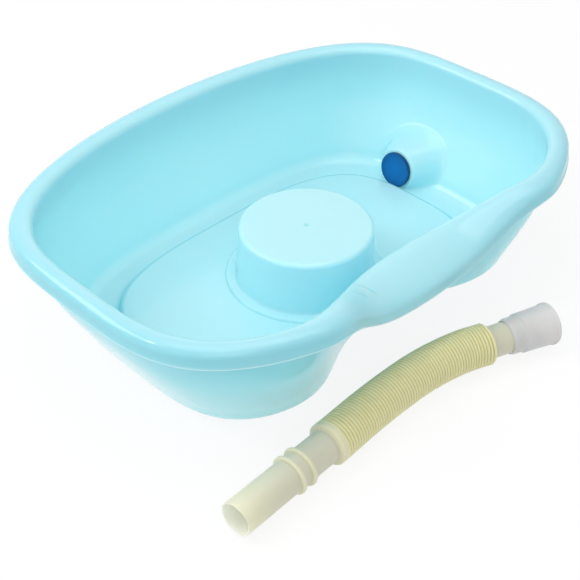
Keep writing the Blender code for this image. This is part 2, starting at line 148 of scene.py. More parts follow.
class Graph:
    """A node tree that is being filled."""

    def __init__(self, tree: bpy.types.NodeTree) -> None:
        """Take over a node tree."""
        self.tree = tree

    def node(self, kind: str, inputs: dict[Any, Any] | None = None,
             **settings: Any) -> bpy.types.Node:
        """Add one node.

        Args:
            kind: The node's type.
            inputs: Values, sockets or terms for its sockets, by name or number.
            **settings: Its own settings; stops holds a ramp's places and linear colours.

        Returns:
            The new node.
        """
        made = self.tree.nodes.new(kind)
        stops = settings.pop("stops", ())
        for key, value in settings.items():
            setattr(made, key, value)
        for index, (place, colour) in enumerate(stops):
            ramp = made.color_ramp.elements
            stop = ramp[index] if index < len(ramp) else ramp.new(1.0)
            stop.position, stop.color = place, colour
        for key, value in (inputs or {}).items():
            self.feed(made.inputs[key], value)
        return made

    def feed(self, target: bpy.types.NodeSocket, value: Any) -> None:
        """Link or set one input socket."""
        if isinstance(value, Term):
            value = value.socket
        if isinstance(value, bpy.types.NodeSocket):
            self.tree.links.new(value, target)
        else:
            target.default_value = value

    def term(self, node: bpy.types.Node, output: str | int = 0) -> Term:
        """Return one output of a node as a term."""
        return Term(self, node.outputs[output])

    def maths(self, operation: str, first: Number, second: Number,
              clamp: bool = False) -> Term:
        """Return the term that a Math node makes of two values."""
        return self.term(self.node("ShaderNodeMath", {0: first, 1: second},
                                   operation=operation, use_clamp=clamp))

    def mix(self, share: Number, first: Any, second: Any) -> bpy.types.NodeSocket:
        """Return a mix of two colours, by a share from 0 to 1."""
        made = self.node("ShaderNodeMix", {"Factor": share, 6: first, 7: second},
                         data_type="RGBA")
        return made.outputs[2]

    def seen(self) -> Term:
        """Return 1 for rays from the camera, off gloss or through glass, and else 0."""
        path = self.node("ShaderNodeLightPath")
        rays = self.term(path, "Is Camera Ray") + self.term(path, "Is Glossy Ray")
        return (rays + self.term(path, "Is Transmission Ray")).clamped()

    def show(self, output: str, unseen: bpy.types.Node, seen: bpy.types.Node) -> None:
        """Feed an output node with one shader for the rays that see and one for the rest."""
        both = self.node("ShaderNodeMixShader",
                         {0: self.seen(), 1: unseen.outputs[0], 2: seen.outputs[0]})
        self.node(output, {"Surface": both.outputs[0]})


@dataclass(frozen=True)
class Glow:
    """Light that travels below a surface.

    Attributes:
        share: Share of the light that does.
        depth: How far it travels, in metres.
        reach: How far its red, green and blue go, in depths.
    """

    share: float
    depth: float
    reach: Colour


class Paint(Graph):
    """A material that is being made, with its Principled shader."""

    def __init__(self, name: str) -> None:
        """Start a material of that name."""
        self.material = bpy.data.materials.new(name)
        self.material.use_nodes = True
        super().__init__(self.material.node_tree)
        self.shader = self.tree.nodes["Principled BSDF"]
        self.place = self.node("ShaderNodeTexCoord").outputs["Object"]

    def noise(self, scale: float, detail: float, roughness: float) -> Term:
        """Return a noise on the piece's own place, from 0 to 1.

        Args:
            scale: Features to a metre, about.
            detail: Octaves.
            roughness: Weight of the finer octaves.

        Returns:
            The noise's value.
        """
        made = self.node("ShaderNodeTexNoise", {"Vector": self.place, "Scale": scale,
                                                "Detail": detail, "Roughness": roughness})
        return self.term(made, "Fac")

    def attribute(self, name: str) -> Term:
        """Return a number that is stored on the piece's points."""
        return self.term(self.node("ShaderNodeAttribute", attribute_name=name), "Fac")

    def grain(self, scale: float) -> Term:
        """Let a fine noise stand out of the surface, and return it."""
        fine = self.noise(scale, detail=2.0, roughness=0.6)
        made = self.node("ShaderNodeBump", {"Height": fine, "Distance": GRAIN_HEIGHT})
        self.feed(self.shader.inputs["Normal"], made.outputs[0])
        return fine

    def soften(self, glow: Glow) -> None:
        """Let light travel below the surface."""
        self.set(Subsurface_Weight=glow.share, Subsurface_Scale=glow.depth,
                 Subsurface_Radius=glow.reach)

    def set(self, **values: Any) -> None:
        """Set or link sockets of the shader, with _ for each space in a name."""
        for key, value in values.items():
            self.feed(self.shader.inputs[key.replace("_", " ")], value)


@dataclass(frozen=True)
class MouldedPlastic:
    """Smooth injection-moulded plastic with faint flow mottle.

    Attributes:
        name: Name of the material.
        colour: Screen colour of the plastic.
        deep: Screen colour where the mottle is deepest.
        painted_high_shade: Screen colour of the painted shade high up, where less light falls.
        painted_shade: Screen colour of the painted shade in narrow recesses, creases and on shaded
            edges.
        gloss: Polish of the mould.
        mottle_scale: Mottle features to a metre.
        contrast: How much the mottle is stretched to reach both colours.
        darkness: How far the stretched mottle leans to the deep colour.
        mottle_gloss: Roughness that the mottle adds.
        grain_gloss: Roughness that the grain adds.
        glow: Light below its surface.
        specular: Strength of the gloss, where 0.5 is that of most plastics.
    """

    name: str
    colour: Colour
    deep: Colour
    painted_high_shade: Colour
    painted_shade: Colour
    gloss: Gloss
    mottle_scale: float = 9.0
    contrast: float = 1.8
    darkness: float = 0.4
    mottle_gloss: float = 0.03
    grain_gloss: float = 0.02
    glow: Glow = Glow(0.0, 0.010, (0.6, 1.0, 1.0))
    specular: float = 0.5

    def paint(self) -> bpy.types.Material:
        """Return the material, which reads the numbers on the piece's points."""
        paint = Paint(self.name)
        mottle = paint.noise(self.mottle_scale, detail=3.0, roughness=0.55)
        fine = paint.grain(scale=900.0)
        share = (mottle * self.contrast - self.darkness).clamped()
        plain = paint.mix(share, linear(self.deep), linear(self.colour))
        # Painted shade: a darker colour high up, and another in recesses, creases and on shaded
        # edges.
        high = paint.mix(paint.attribute("painted_high_shade"), plain, linear(self.painted_high_shade))
        paint.set(Base_Color=paint.mix(paint.attribute("painted_shade"), high, linear(self.painted_shade)),
                  Roughness=(self.gloss.value + mottle * self.mottle_gloss
                             + fine * self.grain_gloss),
                  Specular_IOR_Level=self.specular)
        paint.soften(self.glow)
        return paint.material


@dataclass(frozen=True)
class HosePlastic:
    """Blow-moulded hose plastic, grey-cream where smooth and yellower where ribbed.

    Attributes:
        smooth: Screen colour of the smooth lengths.
        ribbed: Screen colour of the ribs' crests.
        groove: Screen colour of the painted shade down between the ribs.
        bore: Screen colour inside, where light comes through the thin wall.
        clouding: Share of the mottle that is the smooth colour all over.
        mottle_gloss: Roughness that the mottle adds.
        glow: Light below its surface.
    """

    smooth: Colour = (0.874, 0.863, 0.756)
    ribbed: Colour = (0.925, 0.908, 0.695)
    groove: Colour = (0.800, 0.770, 0.530)
    bore: Colour = (0.990, 0.995, 0.900)
    clouding: float = 0.25
    mottle_gloss: float = 0.08
    glow: Glow = Glow(0.8, 0.006, (1.0, 0.97, 0.80))

    def paint(self) -> bpy.types.Material:
        """Return the material, which reads the numbers on the hose's points."""
        paint = Paint("waste_hose_plastic")
        mottle = paint.noise(scale=26.0, detail=4.0, roughness=0.6)
        paint.grain(scale=1900.0)
        crest = paint.mix(paint.attribute("ribbed"), linear(self.smooth), linear(self.ribbed))
        # Painted shade down in the grooves between the ribs.
        valley = paint.mix(paint.attribute("groove"), crest, linear(self.groove))
        clouded = paint.mix(mottle * self.clouding, valley, linear(self.smooth))
        paint.set(Base_Color=paint.mix(paint.attribute("bore"), clouded, linear(self.bore)),
                  Roughness=Gloss.SATIN.value + mottle * self.mottle_gloss)
        paint.soften(self.glow)
        return paint.material


@dataclass(frozen=True)
class SleevePlastic:
    """Frosted grey-white plastic that lets what is inside show faintly.

    Attributes:
        colour: Screen colour of the plastic.
        cloud: Screen colour where it is cloudier.
        clearness: Share of the light that goes straight through.
        cloud_gloss: Roughness that the clouds add.
        glow: Light below its surface.
    """

    colour: Colour = (0.865, 0.862, 0.855)
    cloud: Colour = (0.910, 0.912, 0.912)
    clearness: float = 0.28
    cloud_gloss: float = 0.1
    glow: Glow = Glow(0.2, 0.005, (1.0, 0.2, 0.1))

    def paint(self) -> bpy.types.Material:
        """Return the material."""
        paint = Paint("sleeve_frosted_plastic")
        cloud = paint.noise(scale=45.0, detail=3.0, roughness=0.6)
        paint.grain(scale=1700.0)
        paint.set(Base_Color=paint.mix(cloud, linear(self.colour), linear(self.cloud)),
                  Roughness=Gloss.SOFT.value + cloud * self.cloud_gloss,
                  Alpha=1.0 - self.clearness)
        paint.soften(self.glow)
        return paint.material


def deselect() -> None:
    """Leave edit mode and deselect every object."""
    if bpy.context.object and bpy.context.object.mode != "OBJECT":
        bpy.ops.object.mode_set(mode="OBJECT")
    bpy.ops.object.select_all(action="DESELECT")


def make_active(thing: bpy.types.Object) -> None:
    """Select one object alone and make it the active one."""
    deselect()
    thing.select_set(True)
    bpy.context.view_layer.objects.active = thing


def give_wall(thing: bpy.types.Object, thickness: float) -> None:
    """Thicken an open surface away from the side that it faces."""
    make_active(thing)
    wall = thing.modifiers.new("wall", "SOLIDIFY")
    wall.thickness = thickness
    wall.offset = -1.0
    wall.use_quality_normals = True
    bpy.ops.object.modifier_apply(modifier=wall.name)


def store(thing: bpy.types.Object, name: str, values: np.ndarray) -> None:
    """Store a number on each point of a piece, for its material to read."""
    mark = thing.data.attributes.new(name, "FLOAT", "POINT")
    mark.data.foreach_set("value", values.astype(np.float32))


def arc(centre: tuple[float, float], radius: float, start: float, end: float,
        steps: int) -> Profile:
    """Return points along an arc.

    Args:
        centre: Its centre.
        radius: Its radius.
        start: Angle of the first point, in degrees.
        end: Angle of the last point, in degrees.
        steps: Number of equal steps.

    Returns:
        The points, one more than the steps.
    """
    angles = np.radians(np.linspace(start, end, steps + 1))
    return [(centre[0] + radius * math.cos(angle), centre[1] + radius * math.sin(angle))
            for angle in angles]


def ease(share: float) -> float:
    """Return a share from 0 to 1 with a soft start and a soft end."""
    return share * share * (3 - 2 * share)


def sweep(start: float, run: float, low: float, high: float, shares: Sequence[float],
          shape: Callable[[float], float] = float) -> Profile:
    """Return points of an outline that goes from one radius to another.

    Args:
        start: Distance where it starts.
        run: Length of the whole way.
        low: Radius at its start.
        high: Radius at its end.
        shares: Shares of the way that get a point.
        shape: Share of the change of radius that is reached at a share of the way.

    Returns:
        (distance, radius) pairs.
    """
    return [(start + run * share, low + (high - low) * shape(share)) for share in shares]


def turned_rings(profile: Profile, place: Matrix, points: int) -> list[Ring]:
    """Return rings about X from (distance, radius) pairs, moved to a place."""
    angles = np.linspace(0.0, 2 * math.pi, points + 1)[:-1]
    turn = np.array(place.to_3x3())
    rings = []
    for distance, radius in profile:
        ring = np.stack((np.full(points, distance), radius * np.cos(angles),
                         radius * np.sin(angles)), axis=1)
        rings.append(ring @ turn.T + np.array(place.translation))
    return rings


class RingModeller:
    """Models a form by hand: one edge loop is extruded from ring to ring.

    Each point keeps the number of its place in the loop and of its ring, as turn and row.
    """

    def __init__(self, name: str, rings: Sequence[Ring]) -> None:
        """Add the first loop as a circle, put it on the first ring and extrude it on."""
        deselect()
        first = rings[0]
        radius = float(np.linalg.norm(first - first.mean(axis=0), axis=1).mean())
        bpy.ops.mesh.primitive_circle_add(vertices=len(first), radius=radius,
                                          fill_type="NOTHING")
        self.thing = bpy.context.object
        self.thing.name = self.thing.data.name = name
        bpy.ops.object.mode_set(mode="EDIT")
        bpy.ops.mesh.select_mode(type="VERT")
        bpy.ops.mesh.select_all(action="SELECT")
        for layer in ("turn", "row"):
            self.mesh().verts.layers.int.new(layer)
        turn = self.mesh().verts.layers.int["turn"]
        for index, vert in enumerate(self.mesh().verts):
            vert[turn] = index
        for row, ring in enumerate(rings):
            if row:
                bpy.ops.mesh.extrude_region()
            self.put(ring, row)

    def mesh(self) -> bmesh.types.BMesh:
        """Return the mesh that is being edited."""
        return bmesh.from_edit_mesh(self.thing.data)

    def update(self) -> None:
        """Show a change of the points to Blender's operators."""
        bmesh.update_edit_mesh(self.thing.data)

    def put(self, ring: Ring, row: int) -> None:
        """Put the newest points, which are the selected loop, on a ring."""
        mesh = self.mesh()
        mesh.verts.ensure_lookup_table()
        turns, rows = mesh.verts.layers.int["turn"], mesh.verts.layers.int["row"]
        for vert in mesh.verts[-len(ring):]:
            vert.co = ring[vert[turns]]
            vert[rows] = row
        self.update()

    def pole(self) -> None:
        """Close the selected loop at its centre."""
        bpy.ops.mesh.extrude_region()
        bpy.ops.mesh.merge(type="CENTER")

    def pick(self, test: Callable[[Any], bool], kind: str = "faces") -> None:
        """Select only the faces or verts that pass a test."""
        bpy.ops.mesh.select_mode(type="FACE" if kind == "faces" else "VERT")
        bpy.ops.mesh.select_all(action="DESELECT")
        mesh = self.mesh()
        for item in getattr(mesh, kind):
            if test(item):
                item.select_set(True)
        mesh.select_flush_mode()
        self.update()

    def move(self, change: Callable[[Vector], Vector]) -> None:
        """Move every selected point to where a change puts it."""
        for vert in self.mesh().verts:
            if vert.select:
                vert.co = change(vert.co)
        self.update()

    def face_up(self) -> None:
        """Make the normals agree, with the topmost face looking up."""
        self.pick(lambda face: True)
        bpy.ops.mesh.normals_make_consistent(inside=False)
        top = max(self.mesh().faces, key=lambda face: face.calc_center_median().z)
        top.normal_update()
        if top.normal.z < 0:
            bpy.ops.mesh.flip_normals()

    def close_solid(self) -> bpy.types.Object:
        """Merge the seams of a closed form, turn its faces outward and leave edit mode."""
        self.pick(lambda vert: True, "verts")
        bpy.ops.mesh.remove_doubles(threshold=MERGE_DISTANCE)
        bpy.ops.mesh.normals_make_consistent(inside=False)
        return self.done()

    def done(self) -> bpy.types.Object:
        """Leave edit mode and return the object."""
        bpy.ops.object.mode_set(mode="OBJECT")
        return self.thing

    def rows(self) -> np.ndarray:
        """Return the ring's number for each point of the finished mesh."""
        rows = np.empty(len(self.thing.data.vertices), dtype=np.int32)
        self.thing.data.attributes["row"].data.foreach_get("value", rows)
        return rows

    def dress(self, body: Body, node: str,
              material: bpy.types.Material) -> bpy.types.Object:
        """Smooth the piece, rest it at the origin, and give it its body and finish.

        Args:
            body: The body that it rides on.
            node: The CAD node that it replaces.
            material: Its material.

        Returns:
            The finished piece.
        """
        thing = self.thing
        for name in ("turn", "row"):
            thing.data.attributes.remove(thing.data.attributes[name])
        make_active(thing)
        bpy.ops.object.transform_apply(location=True, rotation=True, scale=True)
        bpy.ops.object.shade_smooth_by_angle(angle=math.radians(SMOOTH_BELOW_DEGREES))
        thing.data.materials.clear()
        thing.data.materials.append(material)
        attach(thing, body.value)
        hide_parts(node)
        LOG.info("%s: %d faces, rides on %s", thing.name, len(thing.data.polygons), body.value)
        return thing


def fade(x: np.ndarray, half_width: float, power: float) -> np.ndarray:
    """Return 1 at the middle of the front, fading to 0 past half_width."""
    return np.exp(-np.abs(x / half_width) ** power)


def level(heights: np.ndarray, ends: tuple[float, float]) -> np.ndarray:
    """Return 0 up to the lower of two heights, 1 from the higher one, and a slope between."""
    return np.clip((heights - ends[0]) / (ends[1] - ends[0]), 0.0, 1.0)


def unit(vectors: Ring) -> Ring:
    """Return the vectors, each scaled to a length of 1."""
    return vectors / np.linalg.norm(vectors, axis=1)[:, None]


@dataclass(frozen=True)
class Dip:
    """Smooth set-back and drop of a ring along the front of the bowl.

    Attributes:
        set_back: Distance that the front moves towards the back, at its middle.
        half_width: Distance from the middle where the set-back has mostly faded.
        power: How square the set-back's outline is.
        drop: Distance that the front sinks, at its middle.
        drop_half_width: Distance from the middle where the drop has mostly faded.
        drop_power: How square the drop's outline is.
    """

    set_back: float = 0.0
    half_width: float = 1.0
    power: float = 2.0
    drop: float = 0.0
    drop_half_width: float = 1.0
    drop_power: float = 2.0


@dataclass(frozen=True)
class Crease:
    """A short shallow fold in the neck rest's surface.

    Attributes:
        start: Its thin end.
        end: Its deep end.
        depth: Its depth at the deep end.
        width: Half of its width.
        thin_share: Share of the depth that its thin end has.
    """

    start: tuple[float, float, float]
    end: tuple[float, float, float]
    depth: float
    width: float
    thin_share: float = 0.35

    def share(self, place: Vector) -> float:
        """Return how much of the fold's depth a place has, from 0 to 1."""
        start, end = Vector(self.start), Vector(self.end)
        way = end - start
        along = min(1.0, max(0.0, (place - start).dot(way) / way.length_squared))
        aside = (place - start - way * along).length / self.width
        return (self.thin_share + (1 - self.thin_share) * along) * math.exp(-aside ** 2)

    def press(self, place: Vector) -> Vector:
        """Return a point of the surface, pressed down where the fold is."""
        return place - Vector((0.0, 0.0, self.depth * self.share(place)))


@dataclass
class Basin:
    """The one-piece bowl: rim, neck rest, wall, gutter, floor, pedestal and drain boss.

    Lengths are in metres, angles in degrees, and a shift is along Y from the rim's centre.

    Attributes:
        belly_shares: Share of the belly at even steps down the wall.
        gate_profile: Radius in gate radii and share of the gate's depth, from outside in.
        boss_half_angle: Slope of the boss's cone below and beside the bore.
        boss_top_half_angle: Slope of the cone above the bore.
        boss_blend: Distance over which the cone runs into the wall.
        high_shade_levels: Heights between which the painted high shade comes in.
        facing_gain: How fast the painted high shade fades on surfaces that look inward.
        inward_high_shade: Least share of the painted high shade on those.
        gutter_lead: Place of the ring across the gutter, as a share of its width.
        pale_rows: Rings at the skirt's edge that get no painted shade and keep the plain colour.
        shaded_levels: Heights between which the painted shade comes in on the outside.
        shaded_depth: Most of the painted shade that the outside has.
        painted_shade_rings: Pairs of a ring, counted from the floor's first, and its share of
            painted shade.
    """

    length: float = 0.563
    depth: float = 0.4196
    rim_height: float = 0.1352
    wall: float = 0.0025
    rim_width_at_ends: float = 0.0210
    rim_width_at_sides: float = 0.0239
    rim_outer_drop: float = 0.0081
    rim_inner_drop: float = 0.0079
    skirt_height: float = 0.0091
    skirt_flare: float = 0.0014
    bead_height: float = 0.0012
    bead_stand: float = 0.0005
    rim_powers: tuple[float, float] = (1.90, 3.70)
    inner_powers: tuple[float, float] = (2.15, 3.55)
    outer_dip: Dip = Dip(0.0317, 0.1248, 5.0, 0.0380, 0.1079, 4.8)
    inner_dip: Dip = Dip(0.0673, 0.1159, 2.9, 0.0341, 0.1029, 3.8)
    floor_dip: Dip = Dip(0.0470, 0.096, 3.0)
    panel_dip: Dip = Dip(0.0254, 0.096, 3.0)
    belly: float = 0.0105
    belly_shares: tuple[float, ...] = (0.80, 1.0, 0.60)
    floor_length: float = 0.4400
    floor_depth: float = 0.2970
    floor_shift: float = 0.0025
    floor_power: float = 3.8
    floor_fillet: float = 0.0180
    neck_fillet: float = 0.0040
    panel_length: float = 0.3810
    panel_depth: float = 0.2416
    panel_shift: float = 0.0049
    panel_power: float = 3.25
    panel_rise: float = 0.0055
    panel_run: float = 0.0010
    panel_round: float = 0.0014
    pedestal_shift: float = -0.0050
    pedestal_height: float = 0.0680
    pedestal_top: float = 0.1380
    pedestal_foot: float = 0.1436
    pedestal_edge: float = 0.0050
    pedestal_fillet: float = 0.0030
    step_diameter: float = 0.1670
    step_rise: float = 0.0025
    step_round: float = 0.0024
    gate_radius: float = 0.0022
    gate_depth: float = 0.0004
    gate_profile: Table = ((1.6, 0.0), (1.1, 0.0), (0.8, 1.0), (0.3, 1.0))
    drain_seat_x: float = 0.1984
    drain_y: float = 0.0418
    drain_height: float = 0.0232
    drain_tilt: float = 8.0
    drain_bore: float = 0.0316
    boss_tip: float = 0.0470
    boss_half_angle: float = 31.0
    boss_top_half_angle: float = 21.0
    boss_reach: float = 0.0640
    boss_blend: float = 0.0100
    boss_tip_round: float = 0.0020
    boss_cuts: int = 3
    stub_length: float = 0.0280
    creases: tuple[Crease, ...] = (
        Crease((-0.0696, -0.1478, 0.1050), (-0.0653, -0.1649, 0.1028), 0.0012, 0.0010),
        Crease((-0.0891, -0.1572, 0.1134), (-0.0787, -0.1663, 0.1083), 0.0008, 0.0009),
    )
    crease_reach: float = 0.0150
    crease_cuts: int = 7
    high_shade_levels: tuple[float, float] = (0.015, 0.125)
    gutter_lead: float = 0.70
    step_lead: float = 0.0005
    panel_lead: float = 0.0030
    pale_rows: int = 2
    shaded_levels: tuple[float, float] = (0.030, 0.125)
    shaded_depth: float = 0.60
    inward_high_shade: float = 0.35
    facing_gain: float = 1.2
    # Painted shade by ring: along the raised floor's edge, round the step, at the pedestal's foot
    # and in the gate mark.
    painted_shade_rings: tuple[tuple[int, float], ...] = (
        (1, 0.5), (2, 1.0), (3, 1.0), (4, 1.0), (5, 1.0), (6, 1.0), (7, 1.0), (8, 0.9),
        (9, 0.9), (10, 0.8), (13, 0.5), (14, 0.5), (15, 0.3), (21, 0.2), (22, 0.3), (23, 0.3),
        (24, 0.2), (38, 0.3), (39, 0.7), (40, 0.4),
    )
    ring_points: int = 288
    rim_steps: int = 18
    wall_steps: int = 8
    fillet_steps: int = 4
    round_steps: int = 6

    def __post_init__(self) -> None:
        """Find where the rim's own centre lies, as the bowl's box is centred on Y = 0."""
        self.centre = 0.0
        depths = self.skirt_rings()[0][:, 1]
        self.centre = -float(depths.max() + depths.min()) / 2

    def plan(self, half_length: float, half_depth: float, powers: tuple[float, float],
             shift: float, height: float, dip: Dip = Dip()) -> Ring:
        """Return one ring of the bowl, evenly spaced and anticlockwise from +X.

        Args:
            half_length: Half of the ring along X.
            half_depth: Half of the ring along Y.
            powers: Superellipse powers along X and along Y.
            shift: Y of its centre from the rim's.
            height: Z of the ring.
            dip: Set-back and drop of its front.

        Returns:
            An array of ring_points points.
        """
        turn = np.linspace(0.0, math.pi / 2, QUARTER_SAMPLES)
        x = half_length * np.cos(turn) ** (2 / powers[0])
        y = half_depth * np.sin(turn) ** (2 / powers[1])
        run = np.concatenate(([0.0], np.cumsum(np.hypot(np.diff(x), np.diff(y)))))
        even = np.linspace(0.0, run[-1], self.ring_points // 4 + 1)
        x, y = np.interp(even, run, x), np.interp(even, run, y)
        x = np.concatenate((x[:-1], -x[:0:-1], -x[:-1], x[:0:-1]))
        y = np.concatenate((y[:-1], y[:0:-1], -y[:-1], -y[:0:-1]))
        front = np.where(y < 0, 1.0, 0.0)
        z = height - front * dip.drop * fade(x, dip.drop_half_width, dip.drop_power)
        y = y + shift + front * dip.set_back * fade(x, dip.half_width, dip.power)
        return np.stack((x, y + self.centre, z), axis=1)

    def circle(self, radius: float, height: float) -> Ring:
        """Return a round ring about the pedestal's axis."""
        return self.plan(radius, radius, (2.0, 2.0), self.pedestal_shift, height)

    def panel(self, inset: float, height: float) -> Ring:
        """Return a ring round the raised floor, inset from the top of its edge."""
        return self.plan(self.panel_length / 2 - inset, self.panel_depth / 2 - inset,
                         (self.panel_power, self.panel_power), self.panel_shift, height,
                         self.panel_dip)

    def skirt_rings(self) -> list[Ring]:
        """Return the rings of the rim's turned-down skirt, upwards from its beaded edge."""
        bottom = self.rim_height - self.rim_outer_drop - self.skirt_height
        bead, stand, height = self.bead_height, self.bead_stand, self.skirt_height
        profile = [(0.0, 0.3 * stand), (0.15 * bead, 0.0), (0.6 * bead, 0.0),
                   (bead, 0.6 * stand), (1.5 * bead, stand), (0.4 * height, stand),
                   (0.7 * height, 0.5 * stand), (height, 0.0)]
        rings = []
        for rise, inset in profile:
            inset = inset + self.skirt_flare * rise / height
            rings.append(self.plan(self.length / 2 - inset, self.depth / 2 - inset,
                                   self.rim_powers, 0.0, bottom + rise, self.outer_dip))
        return rings

    def rim_rings(self, outer: Ring) -> list[Ring]:
        """Return the rings over the rolled rim, after the skirt's top ring."""
        inner = self.plan(self.length / 2 - self.rim_width_at_ends,
                          self.depth / 2 - self.rim_width_at_sides, self.inner_powers, 0.0,
                          self.rim_height - self.rim_inner_drop, self.inner_dip)
        rings = []
        for step in range(1, self.rim_steps + 1):
            angle = math.pi * step / self.rim_steps
            share = (1 - math.cos(angle)) / 2
            ring = outer + (inner - outer) * share
            drop = self.rim_outer_drop + (self.rim_inner_drop - self.rim_outer_drop) * share
            ring[:, 2] += drop * math.sin(angle)
            rings.append(ring)
        return rings

    def wall_rings(self, above: Ring, inner: Ring) -> list[Ring]:
        """Return the rings down the wall and round its fillet into the gutter.

        Args:
            above: The rim's last ring but one, which sets the wall's slope at its top.
            inner: The ring at the rim's inner edge, where the wall starts.

        Returns:
            The rings after the inner one.
        """
        corner = self.plan(self.floor_length / 2, self.floor_depth / 2,
                           (self.floor_power, self.floor_power), self.floor_shift, self.wall,
                           self.floor_dip)
        inward = unit(self.panel(0.0, self.wall) - corner)
        front = np.where(corner[:, 1] < self.centre, 1.0, 0.0)
        narrow = front * fade(corner[:, 0], self.floor_dip.half_width, self.floor_dip.power)
        reach = (self.floor_fillet + (self.neck_fillet - self.floor_fillet) * narrow)[:, None]
        start = corner + reach * unit(inner - corner)
        end = corner + reach * inward
        flat = front * fade(corner[:, 0], self.outer_dip.half_width, self.outer_dip.power)
        swell = (self.belly * (1 - flat))[:, None] * inward
        guides = [above, inner]
        for step, bulge in enumerate(self.belly_shares, 1):
            share = step / (len(self.belly_shares) + 1)
            guides.append(inner + (start - inner) * share - bulge * swell)
        for share in (0.0, 1 / 3, 2 / 3, 1.0):
            guides.append((1 - share) ** 2 * start + 2 * share * (1 - share) * corner
                          + share ** 2 * end)
        guides.append(self.panel(-self.panel_run, self.wall))
        rings = []
        for index in range(1, len(guides) - 2):
            steps = self.wall_steps if index <= len(self.belly_shares) + 1 else self.fillet_steps
            rings += self.curved_rings(guides[index - 1:index + 3], steps)
        return rings

    @staticmethod
    def curved_rings(guides: Sequence[Ring], steps: int) -> list[Ring]:
        """Return rings from the second guide to the third, on a smooth curve through four.

        Args:
            guides: Four rings; the outer two set the curve's slope.
            steps: Number of rings; the last one is the third guide.

        Returns:
            The rings of a centripetal spline down each column of points.
        """
        knots = [np.zeros((len(guides[0]), 1))]
        for first, second in zip(guides, guides[1:]):
            gap = np.linalg.norm(second - first, axis=1)[:, None]
            knots.append(knots[-1] + np.sqrt(np.maximum(gap, SMALLEST_GAP)))
        rings = []
        for step in range(1, steps + 1):
            at = knots[1] + (knots[2] - knots[1]) * step / steps

            def between(low: int, high: int, first: Ring, second: Ring) -> Ring:
                """Return the mix of two rings for a place between two knots."""
                span = knots[high] - knots[low]
                return (first * (knots[high] - at) + second * (at - knots[low])) / span

            near = [between(low, low + 1, guides[low], guides[low + 1]) for low in range(3)]
            far = [between(low, low + 2, near[low], near[low + 1]) for low in range(2)]
            rings.append(between(1, 2, far[0], far[1]))
        return rings

    def floor_rings(self) -> list[Ring]:
        """Return the rings of the raised floor's edge and of the step round the pedestal."""
        run, top = self.panel_run, self.wall + self.panel_rise
        soft, radius = self.panel_round, self.step_diameter / 2
        edge = [(-run - soft, self.wall), (-run - 0.4 * soft, self.wall + 0.15 * soft),
                (-0.9 * run, self.wall + 0.6 * soft)]
        edge += arc((soft, top - soft), soft, 180.0, 90.0, self.round_steps)
        rings = [self.panel(*point) for point in edge]
        last, foot = rings[-1], self.circle(radius + self.step_lead, top)
        gap = np.linalg.norm(foot - last, axis=1)[:, None]
        rings += [last + (foot - last) * np.minimum(self.panel_lead / gap, 0.5), foot]
        step = sweep(radius, -self.step_round, top, top + self.step_rise,
                     np.linspace(0.0, 1.0, self.round_steps + 1), ease)
        return rings + [self.circle(*point) for point in step]

    def pedestal_rings(self) -> list[Ring]:
        """Return the rings of the pedestal's foot, side, edge and top, with its gate mark."""
        floor = self.wall + self.panel_rise + self.step_rise
        foot, top, edge = self.pedestal_foot / 2, self.pedestal_top / 2, self.pedestal_edge
        soft, height = self.pedestal_fillet, self.pedestal_height
        profile = arc((foot + soft, floor + soft), soft, 270.0, 180.0, self.round_steps)
        profile += sweep(foot, top - foot, floor, height, (0.3, 0.6))
        profile += arc((top - edge, height - edge), edge, 0.0, 90.0, self.round_steps)
        profile += [(top / 2, height)]
        profile += [(self.gate_radius * wide, height - self.gate_depth * deep)
                    for wide, deep in self.gate_profile]
        return [self.circle(*point) for point in profile]

    def drain_place(self) -> Matrix:
        """Return the drain's frame: origin on the seat, X outward along the bore."""
        place = Matrix.Translation((self.drain_seat_x, self.drain_y + self.centre,
                                    self.drain_height))
        return place @ Matrix.Rotation(math.radians(self.drain_tilt), 4, "Y")

    def form_drain(self, model: RingModeller) -> None:
        """Swell the end wall into the drain's boss, then open its bore and its stub."""
        place = self.drain_place()
        local = place.inverted()
        slope, top_slope = (math.tan(math.radians(angle))
                            for angle in (self.boss_half_angle, self.boss_top_half_angle))
        tip, bore = self.boss_tip / 2, self.drain_bore / 2

        def radius(point: Vector) -> float:
            """Return a point's distance from the bore's axis."""
            return math.hypot(point.y, point.z)

        def swell(spot: Vector) -> Vector:
            """Return a point of the wall, drawn in to the boss where that stands out."""
            point = local @ spot
            upward = max(0.0, point.z / max(radius(point), CLEARANCE)) ** 2
            beyond = (radius(point) - tip) / (slope + (top_slope - slope) * upward)
            cone = (beyond + math.hypot(beyond, self.boss_tip_round)) / 2
            overlap = max(0.0, 1.0 - abs(point.x - cone) / self.boss_blend)
            point.x = min(point.x, cone) - overlap ** 2 * self.boss_blend / 4
            return place @ point

        def near(face: bmesh.types.BMFace) -> bool:
            """Say whether a face may be part of the boss."""
            point = local @ face.calc_center_median()
            return radius(point) < self.boss_reach and point.x > -self.boss_blend

        model.pick(near)
        bpy.ops.mesh.subdivide(number_cuts=self.boss_cuts)
        model.move(swell)
        model.pick(lambda face: near(face)
                   and radius(local @ face.calc_center_median()) < bore)
        bpy.ops.mesh.delete(type="FACE")
        model.pick(lambda vert: vert.is_boundary and radius(local @ vert.co) < tip
                   and (local @ vert.co).x > -self.boss_blend, "verts")

        def onto_bore(spot: Vector) -> Vector:
            """Return a point of the hole's edge, put on the bore's circle."""
            point = local @ spot
            scale = bore / radius(point)
            return place @ Vector((0.0, point.y * scale, point.z * scale))

        model.move(onto_bore)
        outward = place.to_3x3() @ Vector((1.0, 0.0, 0.0))
        for run in (self.wall, self.stub_length):
            bpy.ops.mesh.extrude_region()
            bpy.ops.transform.translate(value=outward * run)

